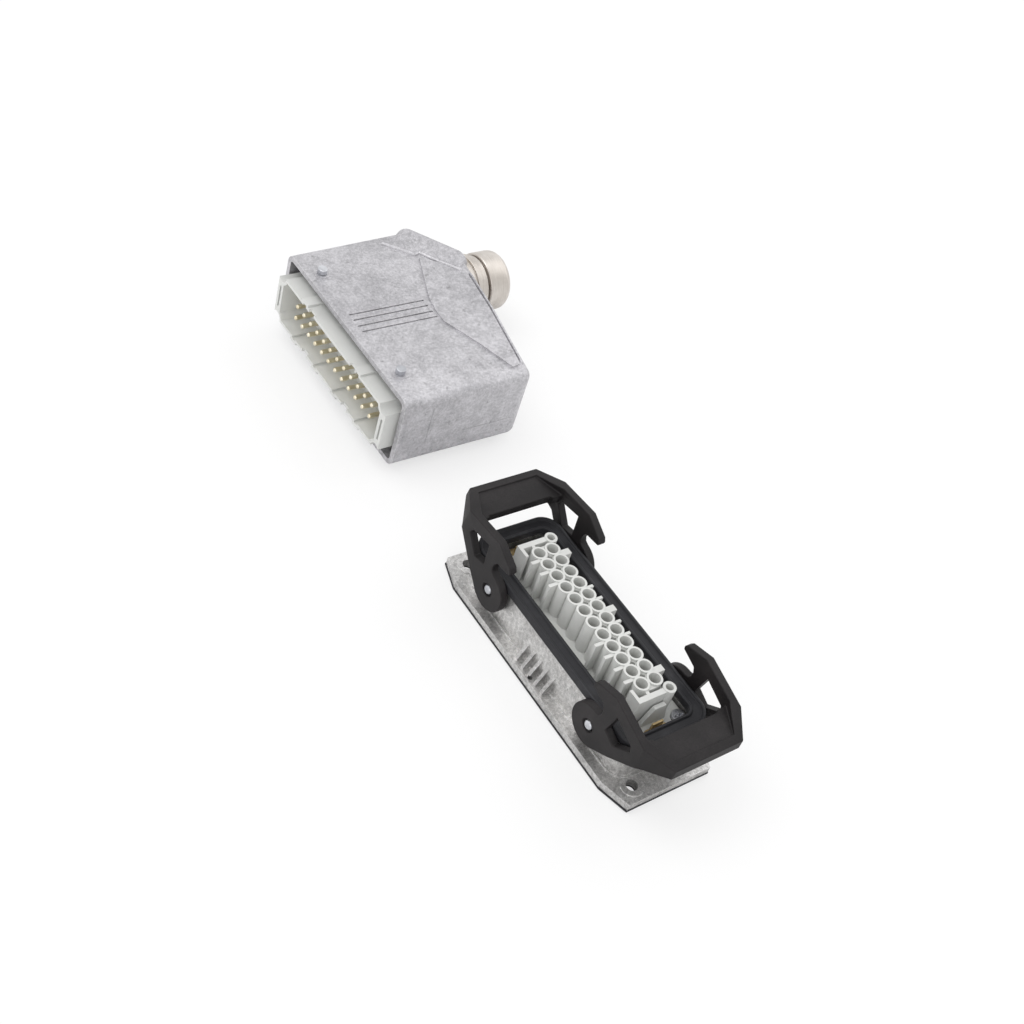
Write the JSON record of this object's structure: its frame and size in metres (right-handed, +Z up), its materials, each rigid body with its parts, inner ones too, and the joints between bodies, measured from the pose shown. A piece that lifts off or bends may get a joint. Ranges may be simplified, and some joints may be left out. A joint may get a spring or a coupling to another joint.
{
  "type": "rectangular industrial connector",
  "caption": "Heavy duty rectangular connector: flanged panel housing with locking levers and socket insert, beside a cable hood with pin insert and screwed cable gland",
  "frame": {"origin": "centre of the panel hole pattern, on the underside of the flange gasket, which is the plane that the part lies on", "axes": "+X across the panel housing and away from the hood's opening, +Y along the housing towards the hood, +Z up from the panel along the way the halves mate"},
  "size_m": [0.1285, 0.3383, 0.0486],
  "materials": {
    "cast_body": "bare die casting, tumbled",
    "cast_hood": "bare die casting, tumbled",
    "black_rubber": "matt",
    "lever_plastic": "fine grained moulding",
    "insert_plastic": "smooth moulding",
    "zinc_steel": "zinc plated",
    "contact_metal": "silver plated",
    "pin_gold": "pale gold plate",
    "earth_brass": "passivated brass",
    "nickel_plate": "satin nickel plated brass"
  },
  "bodies": {
    "shells": {"base_housing": "cast_body", "flange_gasket": "black_rubber", "rim_seal": "black_rubber", "pivot_pins": "zinc_steel", "socket_insert": "insert_plastic", "socket_contacts": "contact_metal", "socket_terminals": "zinc_steel", "socket_earth_plates": "earth_brass", "socket_fixing_screws": "zinc_steel", "hood_shell": "cast_hood", "locking_pegs": "zinc_steel", "pin_insert": "insert_plastic", "contact_pins": "pin_gold", "pin_terminals": "zinc_steel", "pin_earth_plates": "earth_brass", "pin_fixing_screws": "zinc_steel", "entry_gasket": "black_rubber", "entry_adapter": "cast_hood", "gland_body": "nickel_plate", "gland_seal": "black_rubber", "gland_claw": "black_rubber"},
    "lever_far": {"lever_far": "lever_plastic"},
    "lever_near": {"lever_near": "lever_plastic"},
    "gland_nut": {"gland_nut": "nickel_plate"}
  },
  "joints": [
    {"name": "lever_near_pivot", "type": "hinge", "parent": "shells", "child": "lever_near", "pos_m": [0, -0.0392, 0.02], "axis": [1, 0, 0], "range_deg": [-12, 40]},
    {"name": "lever_far_pivot", "type": "hinge", "parent": "shells", "child": "lever_far", "pos_m": [0, 0.0392, 0.02], "axis": [-1, 0, 0], "range_deg": [-2, 50]},
    {"name": "gland_nut_thread", "type": "hinge", "parent": "shells", "child": "gland_nut", "pos_m": [0.0852, 0.2278, 0.0243], "axis": [1, 0, 0], "range_deg": [-30, 720]}
  ]
}
